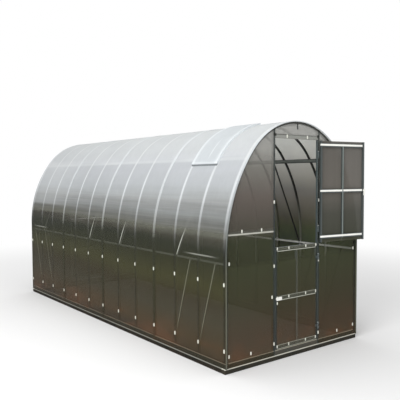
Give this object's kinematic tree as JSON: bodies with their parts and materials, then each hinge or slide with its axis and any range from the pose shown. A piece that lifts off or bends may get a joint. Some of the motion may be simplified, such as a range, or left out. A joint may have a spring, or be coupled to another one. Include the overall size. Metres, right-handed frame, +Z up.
{
  "type": "polycarbonate greenhouse",
  "caption": "Walk-in arched greenhouse of steel tube under clear plastic sheets, with a two-leaf door in its gable and a roof vent.",
  "frame": {"origin": "on the ground under the middle of the front base beam, on the plane of the front gable sheets", "axes": "+X to the right seen from the front, +Y from the front gable to the back one, +Z up"},
  "size_m": [2.014, 5.1836, 2.4929],
  "materials": {
    "dark_frame": "dark slate paint on square steel tube",
    "frame_tube": "grey painted steel tube",
    "base_beam": "dark painted steel beam",
    "leaf_tube": "light painted steel tube",
    "glazing": "clear twin-wall plastic sheet, faintly smoky",
    "strip": "pale plastic joint strip",
    "hardware": "zinc-plated steel",
    "latch": "white plastic"
  },
  "bodies": {
    "root": {"base_ends": "base_beam", "base_sides": "base_beam", "foot_rails_ends": "frame_tube", "foot_rails_sides": "frame_tube", "eave_purlins": "frame_tube", "roof_purlins": "frame_tube", "ridge_purlin": "frame_tube", "braces_left": "frame_tube", "braces_right": "frame_tube", "front_arch": "dark_frame", "arch_1": "dark_frame", "arch_2": "dark_frame", "arch_3": "dark_frame", "arch_4": "dark_frame", "arch_5": "dark_frame", "arch_6": "dark_frame", "arch_7": "dark_frame", "arch_8": "dark_frame", "arch_9": "dark_frame", "arch_10": "dark_frame", "arch_11": "dark_frame", "back_arch": "dark_frame", "gable_posts": "dark_frame", "gable_headers": "dark_frame", "gable_cross_bars": "dark_frame", "vent_frame": "dark_frame", "roof_sheet_1": "glazing", "roof_sheet_2": "glazing", "roof_sheet_3": "glazing", "roof_sheet_4": "glazing", "front_sheet_left": "glazing", "front_sheet_right": "glazing", "front_sheet_top": "glazing", "back_sheets": "glazing", "vent_pane": "glazing", "back_leaf_sheets": "glazing", "joint_strips": "strip", "back_leaf_frames": "leaf_tube", "post_hinges": "hardware", "hinge_pins": "hardware", "back_door_fittings": "hardware"},
    "lower_leaf": {"lower_leaf_frame": "leaf_tube", "lower_leaf_sheet": "glazing", "lower_leaf_hinges": "hardware", "lower_latch": "latch"},
    "upper_leaf": {"upper_leaf_frame": "leaf_tube", "upper_leaf_sheet": "glazing", "upper_leaf_hinges": "hardware", "upper_latch": "latch"}
  },
  "joints": [
    {"name": "lower_leaf_hinge", "type": "hinge", "parent": "root", "child": "lower_leaf", "pos_m": [0.323, -0.012, 0.6415], "axis": [0, 0, 1], "range_deg": [0, 178]},
    {"name": "upper_leaf_hinge", "type": "hinge", "parent": "root", "child": "upper_leaf", "pos_m": [0.323, -0.012, 1.7365], "axis": [0, 0, 1], "range_deg": [-171, 7]}
  ]
}
